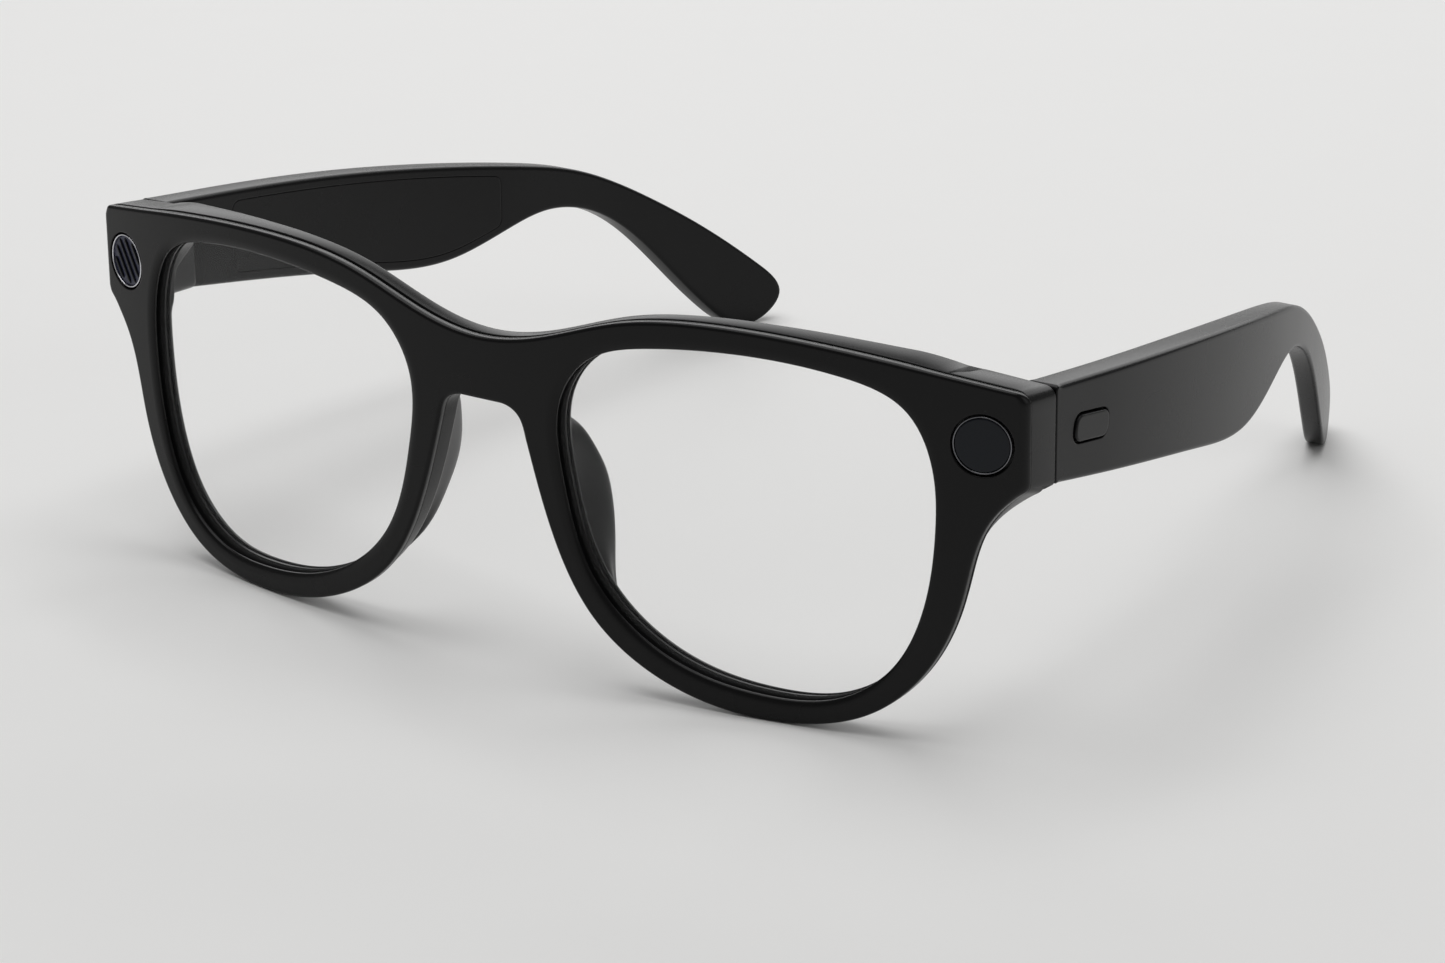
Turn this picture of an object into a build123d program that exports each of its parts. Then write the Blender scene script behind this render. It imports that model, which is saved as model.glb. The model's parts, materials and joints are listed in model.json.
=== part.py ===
"""Smart glasses: a wrapped two-piece front with camera and capture light, and two folding temples.

The frame's origin is on the rest plane, below the middle of the bounding box. +X is the wearer's
left, -Y is the way the wearer looks and +Z is up. Each piece is one node in parts/.
"""

from build123d import *
import os
from math import asin, cos, sin

os.makedirs("parts", exist_ok=True)

# Driving dimensions, in millimetres. "Depth" runs back from the front surface.
HALF_WIDTH = 73.7  # symmetry plane to the side of an end piece
OVERALL_DEPTH = 139.6  # front of the bridge to the rearmost point of the tips
EYE_HEIGHT = 40.1  # rest plane to the centres of the two windows
FRONT_Y = -OVERALL_DEPTH / 2
FACE_RADIUS = 237.0  # wrap of the front, seen from above
FIT = 0.03  # gap all round a piece that is glued or pressed in place

BEZEL_THICKNESS = 1.2
GROOVE_WIDTH = 0.55
GROOVE_DEPTH = 0.45
LENS_SEAT_DEPTH = 3.0
FRONT_THICKNESS = 4.4
LENS_OVERLAP = 0.9  # how far the lens seat reaches outside the visible opening
GASKET_WIDTH = 0.45
LENS_NEAR = 1.35
OPENING_ROUND = 0.8
FLEX_WIDTH = 1.0
FLEX_THICKNESS = 0.2
FLEX_BACK = 1.7

LANDING_SIZE = (11.0, 4.4)  # flat behind the bridge, around the charging contacts
LANDING_Z = 0.3
LANDING_DEPTH = 0.3
CONTACT_RADIUS = 0.8
CONTACT_PITCH = 3.4
CONTACT_NEAR = 2.9
PORT_RADIUS = 0.4  # sound ports of the microphones

END_PIECE_INNER_X = 62.6
END_PIECE_BACK = 18.9  # behind the front of the bridge
BROW_END_X = 66.0
# Sections of an end piece: how far back, then top inside, top outside, bottom inside, bottom outside
END_PIECE_SECTIONS = [
    (0.0, (9.2, 7.4, -4.6, -4.6)),
    (16.5, (8.5, 6.3, -5.1, -6.6)),
    (END_PIECE_BACK, (7.0, 6.0, -5.2, -6.9)),
]
WINDOW_X = 68.5
WINDOW_RADIUS = 3.5
WINDOW_THICKNESS = 0.9
WINDOW_RECESS = 0.15
TRIM_WIDTH = 0.22
WINDOW_BORE_RADIUS = 4.0  # shadow gap around the trim ring
WINDOW_BORE_DEPTH = 0.6
WINDOW_SEAT_RADIUS = WINDOW_RADIUS + TRIM_WIDTH + FIT
CAMERA_X = 68.2
CHAMBER_NEAR = 12.2
CHAMBER_FAR = 17.7
CHAMBER_RADIUS = 4.1
BARREL_NEAR = 12.4
BARREL_LENGTH = 2.2
BARREL_RADIUS = 2.6
CAMERA_LENS_RADIUS = 1.6
MODULE_SIZE = 5.8
MODULE_THICKNESS = 2.6
LIGHT_BOARD_NEAR = 13.6
LIGHT_BOARD_RADIUS = 3.9
RIB_PITCH = 1.5
RIB_GROOVE = 0.55
RIB_TILT = 33.0
RIB_HEIGHT = 0.25

TEMPLE_START = 19.3
TEMPLE_OUTER_X = 73.5
TEMPLE_THICKNESS = 4.4
TEMPLE_STRAIGHT_END = 30.0
OUTER_BOW_RADIUS = 272.0
INNER_BOW_RADIUS = 278.0
TEMPLE_WALL = 0.9
COVER_THICKNESS = 0.8
COVER_FIT = 0.08
SOUND_SLOT = (67.3, 76.6)
SOUND_SLOT_LENGTH = 5.2
SOUND_SLOT_WIDTH = 1.5
SOUND_SLOT_TURN = 100.0
MICROPHONE_X = 71.2
MICROPHONE_BACK = 37.2

HINGE_X = 67.1
HINGE_BACK = 20.45
KNUCKLE_RADIUS = 1.3
PIN_RADIUS = 0.6
PIN_CLEARANCE = 0.05
HINGE_HALF_HEIGHT = 3.0
MIDDLE_KNUCKLE_HALF = 1.1
KNUCKLE_GAP = 0.1
LEAF_THICKNESS = 0.9
FRONT_LEAF_WIDTH = 5.4
TEMPLE_LEAF_LENGTH = 4.4
SCREW_HEAD_RADIUS = 1.05
SCREW_HEAD_HEIGHT = 0.55

BUTTON_CENTRE = (27.8, -1.65)
BUTTON_TILT = -9.5
BUTTON_LENGTH = 8.1
BUTTON_HEIGHT = 3.4
BUTTON_CORNER = 1.3
BUTTON_RECESS = 0.1
BUTTON_TRAVEL = 0.4
BUTTON_GAP = 0.3
FLANGE_NEAR = 1.1
FLANGE_THICKNESS = 0.5
FLANGE_GROW = 0.7
SWITCH_DOME = 0.5
SWITCH_NEAR = FLANGE_NEAR + FLANGE_THICKNESS + BUTTON_TRAVEL + 0.05 + SWITCH_DOME

REACH = 60.0  # extrusions and cutting layers reach this far past the glasses

# Working planes, all through the front of the bridge at window height
FACE = Plane(origin=(0, FRONT_Y, EYE_HEIGHT), x_dir=(1, 0, 0), z_dir=(0, -1, 0))
SIDE = Plane(origin=(0, FRONT_Y, EYE_HEIGHT), x_dir=(0, 1, 0), z_dir=(1, 0, 0))
PLAN = Plane(origin=(0, FRONT_Y, EYE_HEIGHT), x_dir=(1, 0, 0), z_dir=(0, 0, 1))

WINDOW_ANGLE = asin(WINDOW_X / FACE_RADIUS)
WINDOW_SETBACK = FACE_RADIUS * (1 - cos(WINDOW_ANGLE))


def window_plane(side):
    """Plane on the front surface at a window's centre, facing out; side is 1 on the left, -1 on the right."""
    return Plane(
        origin=(side * WINDOW_X, FRONT_Y + WINDOW_SETBACK, EYE_HEIGHT),
        x_dir=(cos(WINDOW_ANGLE), side * sin(WINDOW_ANGLE), 0),
        z_dir=(side * sin(WINDOW_ANGLE), -cos(WINDOW_ANGLE), 0),
    )


def save(builder, name):
    """Labels a finished piece and writes it."""
    builder.part.label = name
    export_step(builder.part, f"parts/{name}.step")


# ---------------------------------------------------------------- outlines


def shifted(points, amount, closed=False):
    """Moves each point of an outline square to its run, to the left of it, by amount."""
    moved = []
    last = len(points) - 1
    for i, point in enumerate(points):
        before = points[i - 1] if closed or i > 0 else point
        after = points[(i + 1) % len(points)] if closed or i < last else point
        run = Vector(*after) - Vector(*before)
        sideways = Vector(-run.Y, run.X).normalized()
        moved.append(Vector(*point) + sideways * amount)
    return moved


def front_outline():
    """Front seen face on, with no lens openings, in the FACE plane's own coordinates."""
    with BuildSketch() as outline:
        with BuildLine():
            brow = Spline(
                (0, 4.3),
                (8.3, 5.5),
                (20.5, 9.4),
                (36, 11.0),
                (54.5, 9.7),
                (HALF_WIDTH, 6.8),
                tangents=((1, 0), (1, -0.16)),
            )
            side = Line(brow @ 1, (HALF_WIDTH, -5.2))
            rim = Spline(
                side @ 1,
                (69.0, -10.6),
                (66.0, -21),
                (62.2, -30),
                (54.6, -37.3),
                (43, -EYE_HEIGHT),
                (28, -37.9),
                (16.6, -30.6),
                (10.5, -19.8),
                (7.0, -8.5),
                tangents=((-1, -0.75), (-0.28, 1)),
            )
            bridge_corner = ThreePointArc(rim @ 1, (5.8, -5.3), (3.0, -4.1))
            Line(bridge_corner @ 1, (0, -4.1))
            mirror(about=Plane.YZ)
        make_face()
        corners = [v for v in outline.vertices() if abs(v.X) > HALF_WIDTH - 0.1]
        fillet(corners, radius=1.8)
    return outline.sketch


LENS_POINTS = [
    (36.5, 7.7),
    (50.5, 6.7),
    (58.8, 3.4),
    (62.1, -3),
    (62.7, -12),
    (61.1, -23),
    (57, -31.2),
    (50.4, -35.8),
    (41, -36.9),
    (27.5, -34.1),
    (16.8, -25.5),
    (12.3, -12.5),
    (12, -2.5),
    (16.2, 3.7),
    (25, 6.7),
]


def lens_outline(outset=0.0):
    """Visible opening of the left lens, grown by outset."""
    with BuildSketch() as opening:
        with BuildLine():
            Spline(*shifted(LENS_POINTS, outset, closed=True), periodic=True)
        make_face()
    return opening.sketch


def end_piece_section(top_inner, top_outer, bottom_inner, bottom_outer):
    """Cross-section of the left end piece, seen from the front."""
    with BuildSketch() as section:
        with BuildLine():
            Polyline(
                (END_PIECE_INNER_X, bottom_inner),
                (HALF_WIDTH, bottom_outer),
                (HALF_WIDTH, top_outer),
                (END_PIECE_INNER_X, top_inner),
                close=True,
            )
        make_face()
        fillet([v for v in section.vertices() if v.X > HALF_WIDTH - 0.1], radius=1.4)
    return section.sketch


# Temple edges from the hinge to the neck, and back
TEMPLE_TOP = [(TEMPLE_START, 5.9), (53.5, 1.4), (80, -3.1), (93, -5.8)]
TEMPLE_UNDERSIDE = [(97, -13.7), (88, -15.3), (78, -17.2), (60, -14.8), (TEMPLE_START, -6.8)]


def temple_profile():
    """Temple seen from the side, in the SIDE plane's own coordinates."""
    with BuildSketch() as profile:
        with BuildLine():
            edge = Spline(
                *TEMPLE_TOP,
                (103, -8.6),
                (117, -16),
                (135.8, -30.3),
                (OVERALL_DEPTH - 0.05, -36),
                (134.6, -40.04),
                (127, -36),
                (117, -24.8),
                (107.5, -16.6),
                *TEMPLE_UNDERSIDE,
                tangents=((1, -0.13), (-1, 0.2)),
            )
            Line(edge @ 1, edge @ 0)
        make_face()
    return profile.sketch


def bay_outline(inset, start, end, corner):
    """The part of the temple's profile between two stations, set in from its edges."""
    with BuildSketch() as bay:
        with BuildLine():
            top = Spline(*shifted(TEMPLE_TOP, -inset))
            underside = Spline(*shifted(TEMPLE_UNDERSIDE, -inset))
            Line(top @ 1, underside @ 0)
            Line(underside @ 1, top @ 0)
        make_face()
        with Locations(((start + end) / 2, 0)):
            Rectangle(end - start, 2 * REACH, mode=Mode.INTERSECT)
        fillet(bay.vertices(), radius=corner)
    return bay.sketch


# ---------------------------------------------------------------- curved layers


def front_layer(near, far):
    """Ring seen from above, between two depths behind the wrapped front surface."""
    with BuildSketch(PLAN.offset(-REACH)) as ring:
        with Locations((0, FACE_RADIUS)):
            Circle(FACE_RADIUS - near)
            Circle(FACE_RADIUS - far, mode=Mode.SUBTRACT)
    return ring.sketch


def wrapped(sketch, near, far):
    """Cuts a front-view sketch out of the layer between two depths."""
    with BuildPart() as piece:
        with BuildSketch(FACE.offset(REACH)):
            add(sketch)
        extrude(amount=-2 * REACH)
        extrude(front_layer(near, far), amount=2 * REACH, mode=Mode.INTERSECT)
    return piece.part


def from_outer(depth):
    """Start and bow radius of the surface that far inside the temple's outer face."""
    return TEMPLE_OUTER_X - depth, OUTER_BOW_RADIUS - depth


def from_inner(height):
    """Start and bow radius of the surface that far out from the temple's inner face."""
    return TEMPLE_OUTER_X - TEMPLE_THICKNESS + height, INNER_BOW_RADIUS + height


def temple_layer(outer, inner):
    """Strip seen from above, between two bowed surfaces of the left temple."""
    with BuildSketch(PLAN.offset(-REACH)) as strip:
        with BuildLine():
            ends = []
            for start_x, radius in (outer, inner):
                straight = Line((start_x, 0), (start_x, TEMPLE_STRAIGHT_END))
                bow = JernArc(straight @ 1, (0, 1), radius, 26)
                ends.append((straight @ 0, bow @ 1))
            Line(ends[0][0], ends[1][0])
            Line(ends[0][1], ends[1][1])
        make_face()
    return strip.sketch


def bowed(sketch, outer, inner):
    """Cuts a side-view sketch out of the strip between two bowed surfaces of the left temple."""
    with BuildPart() as piece:
        with BuildSketch(SIDE):
            add(sketch)
        extrude(amount=2 * REACH)
        extrude(temple_layer(outer, inner), amount=2 * REACH, mode=Mode.INTERSECT)
    return piece.part


def mirrored(part, name):
    """Writes the right-hand twin of a left-hand piece."""
    with BuildPart() as twin:
        mirror(part, about=Plane.YZ)
    save(twin, name)


# ---------------------------------------------------------------- front


def both(sketch):
    """A left-hand sketch with its mirror image."""
    with BuildSketch() as pair:
        add(sketch)
        mirror(about=Plane.YZ)
    return pair.sketch


def flex_route(width, end_x):
    """Band along the middle of the brow, from one window to the other."""
    with BuildSketch() as band:
        with BuildLine() as route:
            Spline(
                (0, 0.4),
                (8, 2.2),
                (15, 5.2),
                (23, 8.0),
                (36, 9.5),
                (50, 8.6),
                (60, 6.2),
                (66, 2.4),
                tangents=((1, 0), (1, -0.8)),
            )
            mirror(about=Plane.YZ)
        trace(route.line, width)
        Rectangle(2 * end_x, 2 * REACH, mode=Mode.INTERSECT)
    return band.sketch


def brow_strip():
    """Thin strip along the top edge of the front, ending short of its sides."""
    with BuildSketch() as strip:
        add(front_outline())
        with Locations((0, -GROOVE_DEPTH)):
            add(front_outline(), mode=Mode.SUBTRACT)
        Rectangle(2 * HALF_WIDTH - 3, 2 * REACH, mode=Mode.INTERSECT)
    return strip.sketch


def brow_plan():
    """The brow seen from above. It deepens towards the end pieces."""
    with BuildSketch(PLAN) as plan:
        with BuildLine():
            back = Spline(
                (0, FRONT_THICKNESS),
                (20, 5.2),
                (30, 6.3),
                (40, 8.3),
                (50, 11.0),
                (60, 14.3),
                (BROW_END_X, 16.3),
            )
            Polyline(back @ 1, (BROW_END_X, 2), (0, 2), back @ 0)
        make_face()
        mirror(about=Plane.YZ)
    return plan.sketch


def microphone_pocket(grow=0.0):
    """Pocket of the bridge microphone, seen from the front."""
    with BuildSketch() as pocket:
        with Locations((0, -1.5)):
            RectangleRounded(3.6 + 2 * grow, 2.6 + 2 * grow, 0.3 + grow)
    return pocket.sketch


with BuildPart() as front_bezel:
    add(wrapped(front_outline(), 0, BEZEL_THICKNESS))
    with BuildSketch(FACE.offset(REACH)):
        add(both(lens_outline()))
    extrude(amount=-2 * REACH, mode=Mode.SUBTRACT)
    skin = front_bezel.faces().sort_by(SortBy.AREA)[-1]
    fillet([wire.edges() for wire in skin.inner_wires()], radius=OPENING_ROUND)
    for side in (1, -1):
        with BuildSketch(window_plane(side).offset(2)):
            Circle(WINDOW_BORE_RADIUS)
        extrude(amount=-2 - WINDOW_BORE_DEPTH, mode=Mode.SUBTRACT)
        with BuildSketch(window_plane(side).offset(2)):
            Circle(WINDOW_SEAT_RADIUS)
        extrude(amount=-8, mode=Mode.SUBTRACT)
save(front_bezel, "front_bezel")


with BuildPart() as brow:
    extrude(brow_plan(), amount=14)
    with BuildSketch(FACE):
        add(front_outline())
    extrude(amount=-END_PIECE_BACK, mode=Mode.INTERSECT)


with BuildPart() as front_frame:
    add(wrapped(front_outline(), BEZEL_THICKNESS, FRONT_THICKNESS))
    add(brow.part)
    # End pieces, tapering back to the temples
    for mirrored_side in (False, True):
        for back, corners in END_PIECE_SECTIONS:
            with BuildSketch(FACE.offset(-back)):
                add(end_piece_section(*corners))
                if mirrored_side:
                    mirror(about=Plane.YZ, mode=Mode.REPLACE)
        loft(ruled=True)
    extrude(front_layer(BEZEL_THICKNESS, REACH), amount=2 * REACH, mode=Mode.INTERSECT)
    # Visible groove along the brow, between bezel and frame
    add(wrapped(brow_strip(), 0, BEZEL_THICKNESS + GROOVE_WIDTH), mode=Mode.SUBTRACT)
    # Lens openings, widened to seat the lenses
    with BuildSketch(FACE.offset(REACH)):
        add(both(lens_outline()))
    extrude(amount=-2 * REACH, mode=Mode.SUBTRACT)
    add(wrapped(both(lens_outline(LENS_OVERLAP)), 0, LENS_SEAT_DEPTH), mode=Mode.SUBTRACT)
    # Chambers behind the two windows, and the seats of their trim rings
    with BuildSketch(FACE.offset(-CHAMBER_NEAR)):
        with Locations((CAMERA_X, 0), (-CAMERA_X, 0)):
            Circle(CHAMBER_RADIUS)
    extrude(amount=CHAMBER_NEAR - CHAMBER_FAR, mode=Mode.SUBTRACT)
    for side in (1, -1):
        with BuildSketch(window_plane(side)):
            Circle(WINDOW_SEAT_RADIUS)
        extrude(amount=-3.2, mode=Mode.SUBTRACT)
    # Channel of the flex cable and pocket of the bridge microphone
    add(wrapped(flex_route(FLEX_WIDTH + 0.2, 66), 0, FLEX_BACK + 0.1), mode=Mode.SUBTRACT)
    add(wrapped(microphone_pocket(0.1), 0, 2.7), mode=Mode.SUBTRACT)
    with BuildSketch(Plane.XY.offset(EYE_HEIGHT - 6)):
        with Locations((0, FRONT_Y + 2.1)):
            Circle(PORT_RADIUS)
    extrude(amount=4, mode=Mode.SUBTRACT)
    # Flat landing behind the bridge, with the holes of the charging contacts
    with BuildSketch(FACE.offset(-FRONT_THICKNESS + LANDING_DEPTH)):
        with Locations((0, LANDING_Z)):
            RectangleRounded(*LANDING_SIZE, 1.2)
    extrude(amount=-2, mode=Mode.SUBTRACT)
    with BuildSketch(FACE.offset(-CONTACT_NEAR + 0.1)):
        with Locations((0, LANDING_Z)):
            with GridLocations(CONTACT_PITCH, 0, 3, 1):
                Circle(CONTACT_RADIUS + FIT)
    extrude(amount=-2, mode=Mode.SUBTRACT)
    # Slots of the hinge leaves, open to the back
    with BuildSketch(FACE.offset(-END_PIECE_BACK + LEAF_THICKNESS + FIT)):
        with Locations((HINGE_X - 0.4, 0), (0.4 - HINGE_X, 0)):
            Rectangle(FRONT_LEAF_WIDTH + 2 * FIT, 2 * (HINGE_HALF_HEIGHT + FIT))
    extrude(amount=-3, mode=Mode.SUBTRACT)
save(front_frame, "front_frame")


with BuildPart() as left_lens:
    add(wrapped(lens_outline(LENS_OVERLAP - GASKET_WIDTH - FIT), LENS_NEAR, LENS_SEAT_DEPTH - FIT))
save(left_lens, "left_lens")
mirrored(left_lens.part, "right_lens")


with BuildPart() as left_lens_gasket:
    add(wrapped(lens_outline(LENS_OVERLAP - FIT), LENS_NEAR - 0.1, LENS_SEAT_DEPTH - FIT))
    add(wrapped(lens_outline(LENS_OVERLAP - GASKET_WIDTH), 0, REACH), mode=Mode.SUBTRACT)
save(left_lens_gasket, "left_lens_gasket")
mirrored(left_lens_gasket.part, "right_lens_gasket")


with BuildPart() as flex_cable:
    add(wrapped(flex_route(FLEX_WIDTH, 64.8), FLEX_BACK - FLEX_THICKNESS, FLEX_BACK))
save(flex_cable, "front_flex_cable")


with BuildPart() as bridge_microphone:
    add(wrapped(microphone_pocket(), 1.6, 2.6))
save(bridge_microphone, "bridge_microphone")


with BuildPart() as charging_contacts:
    with BuildSketch(FACE.offset(-CONTACT_NEAR)):
        with Locations((0, LANDING_Z)):
            with GridLocations(CONTACT_PITCH, 0, 3, 1):
                Circle(CONTACT_RADIUS)
    extrude(amount=-(FRONT_THICKNESS - LANDING_DEPTH - 0.05 - CONTACT_NEAR))
save(charging_contacts, "charging_contacts")


# ---------------------------------------------------------------- nose pads

PAD_DEPTH = 6.0  # behind the frame
PAD_SPLAY = 0.42  # sideways travel for each millimetre back


with BuildPart() as left_nose_pad:
    with BuildSketch(FACE.offset(-FRONT_THICKNESS + 1)) as pad_section:
        with BuildLine():
            inner = Spline((6.6, -5.2), (8.4, -12.2), (11.2, -20.5), (16.6, -29.5))
            outer = Spline((9.0, -4.8), (11.0, -12.2), (13.6, -20.0), (18.2, -28.2))
            Line(inner @ 0, outer @ 0)
            Line(inner @ 1, outer @ 1)
        make_face()
    extrude(amount=PAD_DEPTH + 2, dir=(PAD_SPLAY, 1, 0))
    with BuildSketch(SIDE):
        with BuildLine():
            ridge = Spline(
                (3, -4.4),
                (8.2, -7.8),
                (10.9, -15.8),
                (9.2, -22.6),
                (4.5, -30),
            )
            Line(ridge @ 0, ridge @ 1)
        make_face()
    extrude(amount=REACH, mode=Mode.INTERSECT)
    extrude(front_layer(FRONT_THICKNESS, REACH), amount=2 * REACH, mode=Mode.INTERSECT)
save(left_nose_pad, "left_nose_pad")
mirrored(left_nose_pad.part, "right_nose_pad")


# ---------------------------------------------------------------- camera and capture light


def window_ring(side):
    """Bright ring that frames a window."""
    with BuildPart() as ring:
        with BuildSketch(window_plane(side).offset(-0.05)):
            Circle(WINDOW_RADIUS + TRIM_WIDTH)
            Circle(WINDOW_RADIUS + FIT, mode=Mode.SUBTRACT)
        extrude(amount=-1.3)
        top = ring.faces().filter_by(GeomType.PLANE).sort_by(Axis.Y)[0]
        chamfer(top.edges(), length=0.08)
    return ring


save(window_ring(1), "camera_trim_ring")
save(window_ring(-1), "light_trim_ring")


with BuildPart() as camera_window:
    with BuildSketch(window_plane(1).offset(-WINDOW_RECESS)):
        Circle(WINDOW_RADIUS)
    extrude(amount=-WINDOW_THICKNESS)
save(camera_window, "camera_window")


with BuildPart() as light_guide:
    with BuildSketch(window_plane(-1).offset(-WINDOW_RECESS - RIB_HEIGHT)):
        Circle(WINDOW_RADIUS)
    extrude(amount=-1.0)
    with BuildSketch(window_plane(-1).offset(-WINDOW_RECESS)):
        Circle(WINDOW_RADIUS - 0.25)
        with Locations(Location((0, 0, 0), (0, 0, RIB_TILT))):
            with GridLocations(RIB_PITCH, 0, 4, 1):
                Rectangle(RIB_GROOVE, 3 * WINDOW_RADIUS, mode=Mode.SUBTRACT)
    extrude(amount=-RIB_HEIGHT)
save(light_guide, "light_guide")


with BuildPart() as camera_barrel:
    with BuildSketch(FACE.offset(-BARREL_NEAR)):
        with Locations((CAMERA_X, 0)):
            Circle(BARREL_RADIUS)
            Circle(CAMERA_LENS_RADIUS, mode=Mode.SUBTRACT)
    extrude(amount=-BARREL_LENGTH)
save(camera_barrel, "camera_barrel")


with BuildPart() as camera_lens:
    with BuildSketch(FACE.offset(-BARREL_NEAR - 0.3)):
        with Locations((CAMERA_X, 0)):
            Circle(CAMERA_LENS_RADIUS - FIT)
    extrude(amount=-1.4)
    chamfer(camera_lens.edges().sort_by(Axis.Y)[0], length=0.35)
save(camera_lens, "camera_lens")


with BuildPart() as camera_module:
    with BuildSketch(FACE.offset(-BARREL_NEAR - BARREL_LENGTH - 0.05)):
        with Locations((CAMERA_X, 0)):
            RectangleRounded(MODULE_SIZE, MODULE_SIZE, 0.5)
    extrude(amount=-MODULE_THICKNESS)
save(camera_module, "camera_module")


with BuildPart() as light_board:
    with BuildSketch(FACE.offset(-LIGHT_BOARD_NEAR)):
        with Locations((-CAMERA_X, 0)):
            Circle(LIGHT_BOARD_RADIUS)
    extrude(amount=-0.6)
    with BuildSketch(FACE.offset(0.6 - LIGHT_BOARD_NEAR)):
        with Locations((-CAMERA_X, 0)):
            with GridLocations(2.6, 0, 2, 1):
                Rectangle(1.2, 1.6)
    extrude(amount=-0.6)
save(light_board, "light_board")


# ---------------------------------------------------------------- temples

BAY_START = 34.0
BAY_END = 87.5
COVER_INSET = 1.5
BAY_INSET = 2.1


def core_route(width, start):
    """Band down the middle of the temple's thin end, seen from the side."""
    with BuildSketch() as band:
        with BuildLine() as route:
            Spline((start, -9.8), (96, -10), (107, -12.4), (117, -19.8), (131, -34))
        trace(route.line, width)
    return band.sketch


with BuildPart() as shell:
    add(bowed(temple_profile(), from_outer(0), from_inner(0)))
    # Rebate of the inner cover, and the electronics bay under it
    cover_seat = bay_outline(COVER_INSET, BAY_START - 0.8, BAY_END + 0.8, 1.6)
    add(bowed(cover_seat, from_inner(COVER_THICKNESS), from_inner(-2)), mode=Mode.SUBTRACT)
    bay = bay_outline(BAY_INSET, BAY_START, BAY_END, 1.2)
    add(bowed(bay, from_outer(TEMPLE_WALL), from_inner(0)), mode=Mode.SUBTRACT)
    # Slot of the core wire, reached from the bay
    slot = bowed(core_route(1.9, 86), from_outer(1.55), from_inner(1.35))
    add(slot, mode=Mode.SUBTRACT)
    # Slot of the hinge leaf
    with BuildSketch(SIDE.offset(TEMPLE_OUTER_X - TEMPLE_THICKNESS + LEAF_THICKNESS + FIT)):
        with Locations((22.4, 0)):
            Rectangle(TEMPLE_LEAF_LENGTH + 2 * FIT, 2 * (HINGE_HALF_HEIGHT + FIT))
    extrude(amount=-4, mode=Mode.SUBTRACT)
    # Sound slot in the underside
    with BuildSketch(PLAN.offset(-22)):
        with Locations(SOUND_SLOT):
            SlotOverall(SOUND_SLOT_LENGTH, SOUND_SLOT_WIDTH, rotation=SOUND_SLOT_TURN)
    extrude(amount=7.5, mode=Mode.SUBTRACT)
    # Microphone port in the top
    with BuildSketch(PLAN):
        with Locations((MICROPHONE_X, MICROPHONE_BACK)):
            Circle(PORT_RADIUS)
    extrude(amount=6, mode=Mode.SUBTRACT)


BUTTON_PLANE = SIDE.offset(TEMPLE_OUTER_X)


def button_sketch(depth, grow):
    """Button outline grown by grow, on a plane that far inside the temple's outer face."""
    with BuildSketch(BUTTON_PLANE.offset(-depth)) as pad:
        with Locations(Location((BUTTON_CENTRE[0], BUTTON_CENTRE[1], 0), (0, 0, BUTTON_TILT))):
            RectangleRounded(
                BUTTON_LENGTH + 2 * grow,
                BUTTON_HEIGHT + 2 * grow,
                BUTTON_CORNER + grow,
            )
    return pad.sketch


with BuildPart() as left_temple_shell:
    add(shell.part)
    extrude(button_sketch(TEMPLE_WALL, BUTTON_GAP), amount=2, mode=Mode.SUBTRACT)
    extrude(button_sketch(TEMPLE_WALL, FLANGE_GROW + 0.3), amount=-2.2, mode=Mode.SUBTRACT)
save(left_temple_shell, "left_temple_shell")
mirrored(shell.part, "right_temple_shell")


with BuildPart() as left_temple_cover:
    cover_outline = bay_outline(
        COVER_INSET + COVER_FIT,
        BAY_START - 0.8 + COVER_FIT,
        BAY_END + 0.8 - COVER_FIT,
        1.6,
    )
    add(bowed(cover_outline, from_inner(COVER_THICKNESS - FIT), from_inner(0)))
save(left_temple_cover, "left_temple_cover")
mirrored(left_temple_cover.part, "right_temple_cover")


def in_bay(start, end, near, far, inset=0.25, corner=0.5):
    """Block that fills the bay between two stations and two depths inside the outer face."""
    outline = bay_outline(BAY_INSET + inset, start, end, corner)
    with BuildPart() as block:
        add(bowed(outline, from_outer(near), from_outer(far)))
    return block


touch_sensor = in_bay(36.5, 70, TEMPLE_WALL + FIT, TEMPLE_WALL + 0.2, 1.2)
save(touch_sensor, "left_touch_sensor")
mirrored(in_bay(36.5, 56, TEMPLE_WALL + FIT, TEMPLE_WALL + 0.2, 1.2).part, "right_antenna")

with BuildPart() as main_board:
    add(in_bay(39.5, 57, 1.5, 2.1, 0.3).part)
    with BuildSketch(SIDE.offset(TEMPLE_OUTER_X - 2.1)):
        with Locations((44.5, -4.3)):
            Rectangle(5, 5)
        with Locations((51.8, -4.8)):
            Rectangle(4, 3.4)
    extrude(amount=-1.6)
    add(in_bay(39.5, 57, 1.5, 3.4, 0.3).part, mode=Mode.INTERSECT)
save(main_board, "main_board")
mirrored(in_bay(39.5, 57, 1.5, 2.3, 0.3).part, "power_board")

battery = in_bay(58, 75.4, 1.3, 3.4, 0.3, 1.0)
save(battery, "left_battery")
mirrored(battery.part, "right_battery")

speaker = in_bay(76.4, 86.2, 1.3, 3.2, 0.3, 1.0)
save(speaker, "left_speaker")
mirrored(speaker.part, "right_speaker")


with BuildPart() as left_microphone:
    with BuildSketch(SIDE.offset(MICROPHONE_X + 1)):
        with Locations((MICROPHONE_BACK, -0.1)):
            RectangleRounded(2.6, 1.8, 0.2)
    extrude(amount=-1.1)
save(left_microphone, "left_microphone")
mirrored(left_microphone.part, "right_microphone")


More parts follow.
